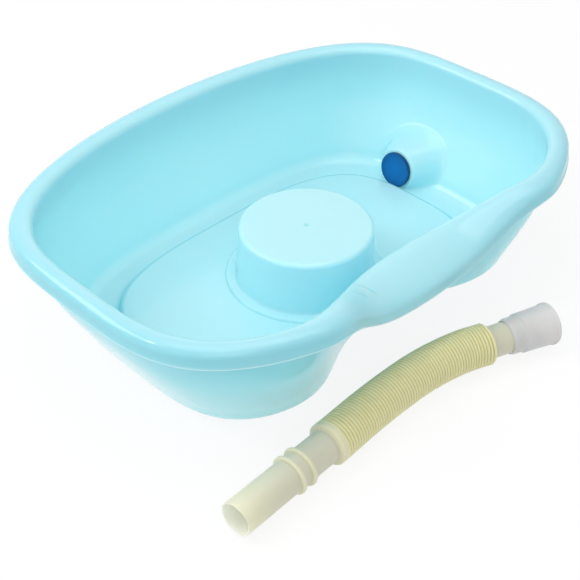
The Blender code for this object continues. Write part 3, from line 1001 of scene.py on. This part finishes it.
    def press_creases(self, model: RingModeller) -> None:
        """Press the short folds into the neck rest."""
        ends = [Vector(end) for crease in self.creases for end in (crease.start, crease.end)]
        middle = sum(ends, Vector()) / len(ends)
        model.pick(lambda face: (face.calc_center_median() - middle).length < self.crease_reach)
        bpy.ops.mesh.subdivide(number_cuts=self.crease_cuts)
        for crease in self.creases:
            model.move(crease.press)

    def store_shades(self, basin: bpy.types.Object, rows: np.ndarray, floor_row: int) -> None:
        """Store how far each point has the painted shades: high up, and in recesses and creases.

        Args:
            basin: The bowl with its wall.
            rows: Each point's ring.
            floor_row: The first ring of the floor.
        """
        verts = basin.data.vertices
        places = np.array([vert.co for vert in verts])
        normals = np.array([vert.normal for vert in verts])
        outward = (places - (0.0, self.centre, 0.0)) / (self.length ** 2, self.depth ** 2, 1.0)
        outward[:, 2] = 0.0
        facing = (normals * unit(outward + SMALLEST_GAP / 10)).sum(axis=1)
        curved = (rows < floor_row) & (rows > self.pale_rows)
        # Painted shade high up: full on surfaces that look outward, less on those that look
        # inward.
        painted_high_shade = (level(places[:, 2], self.high_shade_levels)
                 * np.clip(1 + self.facing_gain * facing, self.inward_high_shade, 1.0))
        store(basin, "painted_high_shade", painted_high_shade * curved)
        # Painted shade on the outside high up under the rim, dark lines at the listed rings, and
        # in the creases.
        painted_shade = (level(places[:, 2], self.shaded_levels) * np.clip(facing, 0.0, 1.0)
                  * self.shaded_depth * curved)
        for row, depth in self.painted_shade_rings:
            painted_shade[rows == floor_row + row] = depth
        for crease in self.creases:
            painted_shade += [crease.share(vert.co) for vert in verts]
        store(basin, "painted_shade", np.clip(painted_shade, 0.0, 1.0))

    def build(self, material: bpy.types.Material) -> bpy.types.Object:
        """Model the bowl and dress it.

        Args:
            material: The bowl's plastic.

        Returns:
            The finished piece.
        """
        skirt = self.skirt_rings()
        rim = self.rim_rings(skirt[-1])
        wall = self.wall_rings(rim[-2], rim[-1])
        floor = self.floor_rings()
        lead = wall[-1] + (floor[0] - wall[-1]) * self.gutter_lead
        above = [*skirt, *rim, *wall]
        model = RingModeller("basin_moulding", [*above, lead, *floor, *self.pedestal_rings()])
        model.pole()
        self.form_drain(model)
        self.press_creases(model)
        model.face_up()
        basin = model.done()
        give_wall(basin, self.wall)
        self.store_shades(basin, model.rows(), len(above))
        return model.dress(Body.BASIN, "basin_shell", material)


@dataclass
class Stopper:
    """The drain's stopper: a flanged disc with a shallow dish and a hollow plug.

    Attributes:
        dish_edge: The dish's edge, as a share of its depth and an inset in depths.
        line_shade: Share of painted shade along the dish's edge.
    """

    diameter: float = 0.0404
    flange: float = 0.0037
    edge_round: float = 0.0008
    dish_depth: float = 0.0006
    dish_border: float = 0.0032
    dish_edge: Table = ((1.0, 2.0), (0.7, 1.0), (0.2, 0.4), (0.0, 0.0))
    line_shade: float = 0.6
    plug_length: float = 0.0050
    plug_taper: float = 0.0016
    plug_wall: float = 0.0020
    points: int = 96
    round_steps: int = 5

    def profile(self, bore: float) -> Profile:
        """Return the stopper's outline as (distance, radius) pairs from the seat.

        Args:
            bore: Diameter of the drain's bore.

        Returns:
            The pairs, from the middle of its face to the middle of its back.
        """
        face, rim, soft = -CLEARANCE - self.flange, self.diameter / 2, self.edge_round
        plug, dish, deep = bore / 2 - CLEARANCE, rim - self.dish_border, self.dish_depth
        line = [(face + deep, 0.25 * dish)]
        line += [(face + deep * share, dish - deep * inset) for share, inset in self.dish_edge]
        line += arc((face + soft, rim - soft), soft, 180.0, 90.0, self.round_steps)
        line += arc((-CLEARANCE - soft / 2, rim - soft / 2), soft / 2, 90.0, 0.0,
                    self.round_steps)
        end = plug - self.plug_taper
        line += [(-CLEARANCE, plug + soft / 2), (soft / 2, plug),
                 (self.plug_length - soft / 2, end), (self.plug_length, end - soft / 2),
                 (self.plug_length, end - self.plug_wall), (0.0, plug - self.plug_wall)]
        return line

    def store_shades(self, stopper: bpy.types.Object, local: Matrix) -> None:
        """Store painted shade on each point: on the flange's side and along the dish's edge."""
        spots = [local @ vert.co for vert in stopper.data.vertices]
        radii = np.array([math.hypot(spot.y, spot.z) for spot in spots])
        dish = self.diameter / 2 - self.dish_border
        # Painted shade on the flange's side and a painted dark line at the dish's edge.
        side = np.clip((radii - dish) / self.dish_border, 0.0, 1.0) ** 2
        line = self.line_shade * np.exp(-((radii - dish + self.dish_depth) / self.dish_depth) ** 2)
        store(stopper, "painted_shade", np.clip(side + line, 0.0, 1.0))

    def build(self, basin: Basin, material: bpy.types.Material) -> bpy.types.Object:
        """Model the stopper in the drain and dress it.

        Args:
            basin: The bowl, which gives the drain's place and bore.
            material: The stopper's plastic.

        Returns:
            The finished piece.
        """
        place = basin.drain_place()
        rings = turned_rings(self.profile(basin.drain_bore), place, self.points)
        model = RingModeller("drain_plug", rings)
        model.pole()
        model.pick(lambda vert: vert.is_boundary, "verts")
        model.pole()
        self.store_shades(model.close_solid(), place.inverted())
        return model.dress(Body.STOPPER, "drain_stopper", material)


@dataclass(frozen=True)
class Station:
    """One ring of the hose.

    Attributes:
        distance: Distance from the hose's open end.
        radius: Radius of the ring.
        ribbed: 1 where the plastic is the ribs' and 0 where it is smooth.
        groove: 1 at the bottom of a groove and 0 elsewhere, for the painted shade there.
        bore: 1 inside the hose and 0 outside.
    """

    distance: float
    radius: float
    ribbed: float = 0.0
    groove: float = 0.0
    bore: float = 0.0


@dataclass
class Hose:
    """The waste hose: spigot, two collars, smooth neck, shoulder, ribs and cuff.

    Attributes:
        collar_power: How square the collars' outline is.
        rib_power: Shape of the ribs, where 1 is a plain wave and less gives broader crests.
        shoulder_tint: How far the shoulder's ramp takes on the ribs' colour.
        rim_tint: How far the shoulder's rim has it.
        cuff_tint: How much of it the cuff's ramp starts with.
        route: Where the hose lies, from its open end, as X and Y.
    """

    rib_diameter: float = 0.0410
    groove_diameter: float = 0.0380
    wall: float = 0.0014
    rib_count: int = 58
    rib_length: float = 0.1951
    spigot_diameter: float = 0.0318
    spigot_length: float = 0.0618
    collar_diameter: float = 0.0374
    collar_width: float = 0.0050
    collar_pitch: float = 0.0130
    neck_diameter: float = 0.0316
    neck_length: float = 0.0288
    shoulder_length: float = 0.0109
    shoulder_ramp: float = 0.0030
    cuff_diameter: float = 0.0312
    cuff_length: float = 0.0340
    end_round: float = 0.0005
    collar_power: float = 3.5
    collar_points: int = 13
    ramp_points: int = 7
    rib_power: float = 0.7
    shoulder_tint: float = 0.2
    rim_tint: float = 0.3
    cuff_tint: float = 0.8
    path_points: int = 60
    rib_points: int = 6
    ring_points: int = 48
    spline_samples: int = 40
    end_height: float = 0.0212
    route: Table = (
        (-0.2822, -0.2126), (-0.2400, -0.2110), (-0.2000, -0.2095), (-0.1600, -0.2080),
        (-0.1200, -0.2059), (-0.0800, -0.2053), (-0.0400, -0.2073), (0.0000, -0.2148),
        (0.0300, -0.2256), (0.0600, -0.2366), (0.1000, -0.2512),
    )

    @property
    def ribs_start(self) -> float:
        """Distance from the open end to the first rib."""
        return (self.spigot_length + self.collar_pitch + self.collar_width + self.neck_length
                + self.shoulder_length)

    @property
    def ribs_end(self) -> float:
        """Distance from the open end to the end of the last rib."""
        return self.ribs_start + self.rib_length

    @property
    def length(self) -> float:
        """Length from the open end to the cuff's end."""
        return self.ribs_end + self.cuff_length

    def __post_init__(self) -> None:
        """Lay the centreline as a spline through the route."""
        points = np.array(self.route)
        padded = np.vstack((2 * points[0] - points[1], points, 2 * points[-1] - points[-2]))
        line = []
        for index in range(1, len(padded) - 2):
            before, start, end, after = padded[index - 1:index + 3]
            for share in np.linspace(0, 1, self.spline_samples, endpoint=False):
                line.append(0.5 * (2 * start + (end - before) * share
                                   + (2 * before - 5 * start + 4 * end - after) * share ** 2
                                   + (3 * start - before - 3 * end + after) * share ** 3))
        line = np.array(line + [points[-1]])
        steps = np.linalg.norm(np.diff(line, axis=0), axis=1)
        self.distances = np.concatenate(([0.0], np.cumsum(steps)))
        heights = np.interp(self.distances, (self.ribs_start, self.ribs_end),
                            (self.rib_diameter / 2, self.end_height))
        self.line = np.column_stack((line, heights))

    def spot(self, distance: float) -> Vector:
        """Return the centreline's point at a distance from the open end."""
        return Vector([np.interp(distance, self.distances, self.line[:, axis])
                       for axis in range(3)])

    def place_at(self, distance: float) -> Matrix:
        """Return the frame of the centreline at a distance, with X along the hose."""
        half = self.collar_width / 2
        way = self.spot(distance + half) - self.spot(max(0.0, distance - half))
        return framed(self.spot(distance), way.normalized())

    def end_stations(self) -> list[Station]:
        """Return the outside of the smooth end, from the open mouth to the ribs."""
        spigot, collar, neck, rib = (size / 2 for size in (
            self.spigot_diameter, self.collar_diameter, self.neck_diameter, self.rib_diameter))
        neck_start = self.spigot_length + self.collar_pitch + self.collar_width
        shoulder, soft = neck_start + self.neck_length, self.end_round
        outline = arc((soft, spigot - soft), soft, 180.0, 90.0, 3)
        outline += sweep(0.0, self.spigot_length, spigot, spigot, QUARTERS)
        for start in (self.spigot_length, self.spigot_length + self.collar_pitch):
            outline += sweep(start, self.collar_width, spigot, collar,
                             np.linspace(0.0, 1.0, self.collar_points),
                             lambda share: 1 - abs(2 * share - 1) ** self.collar_power)
        outline += sweep(neck_start, self.neck_length, neck, neck, (0.1, 0.5, 0.9))
        rim = Station((shoulder + self.shoulder_ramp + self.ribs_start) / 2, rib, self.rim_tint)
        return [*(Station(*point) for point in outline),
                *self.ramp(shoulder, (neck, rib), (0.0, self.shoulder_tint),
                           np.linspace(0.0, 1.0, self.ramp_points)), rim]

    def ramp(self, start: float, radii: tuple[float, float], tints: tuple[float, float],
             shares: Sequence[float]) -> list[Station]:
        """Return a ramp's stations, from the first radius and tint to the second."""
        return [Station(start + self.shoulder_ramp * share,
                        *(ends[0] + (ends[1] - ends[0]) * ease(share) for ends in (radii, tints)))
                for share in shares]

    def rib_stations(self) -> list[Station]:
        """Return the outside of the ribs."""
        pitch = self.rib_length / self.rib_count
        groove, rib = self.groove_diameter / 2, self.rib_diameter / 2
        stations = [Station(self.ribs_start - pitch / 4, rib, 1.0)]
        for index in range(self.rib_count):
            for step in range(self.rib_points):
                share = step / self.rib_points
                crest = math.sin(math.pi * share) ** self.rib_power
                stations.append(Station(self.ribs_start + (index + share) * pitch,
                                        groove + (rib - groove) * crest, 1.0, 1 - crest))
        stations.append(Station(self.ribs_end, groove, 1.0, 1.0))
        return stations

    def cuff_stations(self) -> list[Station]:
        """Return the outside of the cuff, from the ribs to its end."""
        groove, cuff, soft = self.groove_diameter / 2, self.cuff_diameter / 2, self.end_round
        return [*self.ramp(self.ribs_end, (groove, cuff), (self.cuff_tint, 0.0),
                           np.linspace(0.1, 1.0, self.ramp_points - 1)),
                Station(self.length - self.cuff_length / 2, cuff),
                Station(self.length - soft, cuff), Station(self.length, cuff - soft)]

    def bore_stations(self) -> list[Station]:
        """Return the inside, from the cuff's end back to the open mouth."""
        pitch = self.rib_length / self.rib_count
        spigot, cuff = self.spigot_diameter / 2 - self.wall, self.cuff_diameter / 2 - self.wall
        ribs = self.groove_diameter / 2 - self.wall
        stations = [Station(self.length, cuff), Station(self.length - self.cuff_length / 2, cuff),
                    Station(self.ribs_end + self.shoulder_ramp, cuff)]
        for index in range(self.rib_count - 1, 0, -1):
            stations += [Station(self.ribs_start + (index + 0.5) * pitch, ribs, 1.0),
                         Station(self.ribs_start + index * pitch, ribs - self.wall / 2, 1.0, 0.5)]
        shoulder = self.ribs_start - self.shoulder_length
        stations += [Station(shoulder, self.neck_diameter / 2 - self.wall),
                     Station(self.spigot_length, spigot), Station(self.spigot_length / 2, spigot),
                     Station(2 * self.end_round, spigot),
                     Station(self.end_round / 2, spigot + self.end_round / 4)]
        return [replace(station, bore=1.0) for station in stations]

    def build(self, material: bpy.types.Material) -> bpy.types.Object:
        """Model the hose along its route and dress it.

        Args:
            material: The hose's plastic.

        Returns:
            The finished piece.
        """
        stations = (self.end_stations() + self.rib_stations() + self.cuff_stations()
                    + self.bore_stations())
        rings = [turned_rings([(0.0, station.radius)], self.place_at(station.distance),
                              self.ring_points)[0] for station in stations]
        model = RingModeller("waste_hose", [*rings, rings[0]])
        hose = model.close_solid()
        rows = model.rows() % len(stations)
        for name in ("ribbed", "groove", "bore"):
            store(hose, name, np.array([getattr(station, name) for station in stations])[rows])
        return model.dress(Body.HOSE, "drain_hose", material)

    def declare(self, hose: bpy.types.Object, sleeve: bpy.types.Object) -> None:
        """Args:
            hose: The finished hose; not used.
            sleeve: The finished sleeve on its cuff; not used.
        """


def framed(spot: Vector, way: Vector) -> Matrix:
    """Return the frame at a spot with its X along a level way."""
    side = way.cross(Vector((0.0, 0.0, 1.0))).normalized()
    turn = Matrix((way, side, way.cross(side))).transposed().to_4x4()
    return Matrix.Translation(spot) @ turn


@dataclass
class Sleeve:
    """The sleeve on the hose's cuff: a short collar, then a cone to a lipped mouth."""

    overlap: float = 0.0125
    length: float = 0.0502
    wall: float = 0.0020
    taper: float = 0.0040
    collar_length: float = 0.0135
    step: float = 0.0014
    mouth_diameter: float = 0.0404
    lip: float = 0.0010
    lip_width: float = 0.0030
    edge_round: float = 0.0005
    points: int = 96

    def profile(self, cuff_diameter: float) -> Profile:
        """Return the sleeve's outline as (distance, radius) pairs.

        Args:
            cuff_diameter: Outside of the hose's cuff.

        Returns:
            The pairs, round the wall and back to where they start.
        """
        inner = cuff_diameter / 2 + CLEARANCE
        outer, soft, step = inner + self.wall, self.edge_round, self.collar_length
        wide, mouth = outer + self.step, self.mouth_diameter / 2
        cone, cone_end = step + self.step, self.length - self.lip_width - self.lip
        line = [(soft, inner), (0.0, inner + soft / 2), (soft, inner + soft)]
        line += sweep(soft, self.taper, inner + soft, outer, (*QUARTERS, 1.0),
                      lambda share: share * (2 - share))
        line += [(step - soft, outer)]
        line += sweep(step, self.step, outer, wide, BEND_SHARES, ease)
        line += sweep(cone, cone_end - cone, wide, mouth, (*QUARTERS, 0.97))
        line += sweep(cone_end, self.lip, mouth, mouth + self.lip, BEND_SHARES, ease)
        line += arc((self.length - soft, mouth + self.lip - soft), soft, 90.0, 0.0, 4)
        line += [(self.length, mouth - self.wall + soft),
                 (self.length - soft, mouth - self.wall),
                 (cone, wide - self.wall), (step, inner)]
        return line

    def build(self, hose: Hose, material: bpy.types.Material) -> bpy.types.Object:
        """Model the sleeve on the hose's cuff and dress it.

        Args:
            hose: The hose, which gives the cuff's place and size.
            material: The sleeve's plastic.

        Returns:
            The finished piece.
        """
        end = hose.spot(hose.length)
        way = (end - hose.spot(hose.length - hose.cuff_length / 2)).normalized()
        place = framed(end - way * self.overlap, way)
        rings = turned_rings(self.profile(hose.cuff_diameter), place, self.points)
        model = RingModeller("hose_end_sleeve", [*rings, rings[0]])
        model.close_solid()
        return model.dress(Body.SLEEVE, "hose_sleeve", material)


def add_object(name: str, data: Any) -> bpy.types.Object:
    """Add an object that shows a camera's or a lamp's data."""
    thing = bpy.data.objects.new(name, data)
    bpy.context.scene.collection.objects.link(thing)
    return thing


@dataclass(frozen=True)
class Softbox:
    """A square lamp that looks at the bowl.

    Attributes:
        name: Its name.
        way: Direction from the bowl to the lamp.
        distance: Distance from the bowl.
        size: Side of the lamp.
        power: Its power in watts.
    """

    name: str
    way: tuple[float, float, float]
    distance: float
    size: float
    power: float

    def place(self) -> None:
        """Add the lamp."""
        data = bpy.data.lights.new(self.name, "AREA")
        data.shape, data.size, data.energy = "SQUARE", self.size, self.power
        way = Vector(self.way).normalized()
        lamp = add_object(self.name, data)
        lamp.location = way * self.distance
        lamp.rotation_euler = way.to_track_quat("Z", "Y").to_euler()


@dataclass
class Studio:
    """The camera, the pale floor, the white surroundings and the lamps."""

    azimuth: float = -45.3077
    elevation: float = 38.9545
    roll: float = 0.3362
    place: tuple[float, float, float] = (-0.66506, -0.65127, 0.72667)
    lens: float = 69.49
    sensor: float = 36.0
    nearest: float = 0.01
    sky_stops: Table = ((0.0, 0.0), (0.33, 0.48), (0.66, 0.95), (1.0, 0.0))
    sky_strength: float = 1.16
    floor_radius: float = 6.0
    floor_points: int = 96
    floor_drop: float = 0.0002
    floor_glow: float = 0.85
    floor_paint: float = 0.15
    floor_bounce: float = 0.80
    floor_bounce_glow: float = 0.12
    lamps: tuple[Softbox, ...] = (
        Softbox("overhead_softbox", (0.0, 0.0, 1.0), 1.6, 1.2, 7.3),
        Softbox("left_softbox", (-0.633, 0.640, 0.75), 1.8, 0.8, 7.0),
        Softbox("front_softbox", (-0.640, -0.633, 0.75), 1.8, 0.8, 3.2),
        Softbox("glint_lamp", (-0.59, 0.21, 0.78), 1.8, 0.10, 2.2),
    )

    def add_camera(self) -> None:
        """Add the camera at the photograph's place, turned and rolled as it was."""
        turn, lift, roll = (math.radians(angle)
                            for angle in (self.azimuth, self.elevation, self.roll))
        back = Vector((math.sin(turn) * math.cos(lift), -math.cos(turn) * math.cos(lift),
                       math.sin(lift)))
        right = Vector((0.0, 0.0, 1.0)).cross(back).normalized()
        upward = back.cross(right)
        right, upward = (right * math.cos(roll) + upward * math.sin(roll),
                         upward * math.cos(roll) - right * math.sin(roll))
        data = bpy.data.cameras.new("photo_camera")
        data.lens, data.sensor_width, data.clip_start = self.lens, self.sensor, self.nearest
        camera = add_object("photo_camera", data)
        turned = Matrix((right, upward, back)).transposed().to_4x4()
        camera.matrix_world = Matrix.Translation(self.place) @ turned
        bpy.context.scene.camera = camera

    def add_surroundings(self) -> None:
        """Light the scene from a sky that is brighter above than at the horizon."""
        world = bpy.data.worlds.new("studio")
        world.use_nodes = True
        bpy.context.scene.world = world
        graph = Graph(world.node_tree)
        world.node_tree.nodes.clear()
        way = graph.node("ShaderNodeTexCoord").outputs["Generated"]
        height = graph.term(graph.node("ShaderNodeSeparateXYZ", {0: way}), "Z")
        sky = graph.node("ShaderNodeValToRGB", {"Fac": height},
                         stops=[(place, grey(light)) for place, light in self.sky_stops])
        light = graph.node("ShaderNodeBackground",
                           {"Color": sky.outputs[0], "Strength": self.sky_strength})
        white = graph.node("ShaderNodeBackground", {"Color": grey(1.0)})
        graph.show("ShaderNodeOutputWorld", light, white)

    def add_floor(self) -> None:
        """Add the pale floor, which stays nearly white and keeps the bowl's shadow."""
        deselect()
        bpy.ops.mesh.primitive_circle_add(vertices=self.floor_points, radius=self.floor_radius,
                                          fill_type="NGON",
                                          location=(0.0, 0.0, -self.floor_drop))
        floor = bpy.context.object
        floor.name = floor.data.name = "studio_floor"
        material = bpy.data.materials.new("studio_floor")
        material.use_nodes = True
        material.node_tree.nodes.clear()
        graph = Graph(material.node_tree)

        def lit(paint: float, glow: float) -> bpy.types.Node:
            """Return a grey paint that also glows."""
            matt = graph.node("ShaderNodeBsdfDiffuse", {"Color": grey(paint)})
            shine = graph.node("ShaderNodeEmission", {"Color": grey(glow)})
            return graph.node("ShaderNodeAddShader", {0: matt.outputs[0], 1: shine.outputs[0]})

        graph.show("ShaderNodeOutputMaterial", lit(self.floor_bounce, self.floor_bounce_glow),
                   lit(self.floor_paint, self.floor_glow))
        floor.data.materials.append(material)

    def build(self) -> None:
        """Add everything that isn't part of the object."""
        self.add_camera()
        self.add_surroundings()
        self.add_floor()
        for lamp in self.lamps:
            lamp.place()
        bpy.context.scene.view_settings.view_transform = "Standard"


def main() -> None:
    """Build the studio and the pieces in order."""
    logging.basicConfig(level=logging.INFO, format="%(message)s")
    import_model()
    Studio().build()
    # The last two colours are painted shades: high up, and in recesses and on shaded edges.
    aqua = MouldedPlastic("basin_aqua_plastic", (0.724, 0.945, 0.985), (0.714, 0.941, 0.982),
                          (0.645, 0.860, 0.918), (0.520, 0.840, 0.900), Gloss.POLISHED,
                          glow=Glow(0.5, 0.010, (0.6, 1.0, 1.0)))
    # Its last colour is the painted shade on the flange's side and along the dish's edge.
    blue = MouldedPlastic("stopper_blue_plastic", (0.02, 0.425, 0.690), (0.015, 0.410, 0.680),
                          (0.02, 0.425, 0.690), (0.005, 0.260, 0.430), Gloss.SATIN,
                          mottle_scale=40.0, specular=0.2)
    basin, stopper, hose, sleeve = Basin(), Stopper(), Hose(), Sleeve()
    basin.build(aqua.paint())
    stopper.build(basin, blue.paint())
    tube = hose.build(HosePlastic().paint())
    mouth = sleeve.build(hose, SleevePlastic().paint())
    hose.declare(tube, mouth)


if __name__ == "__main__":
    main()
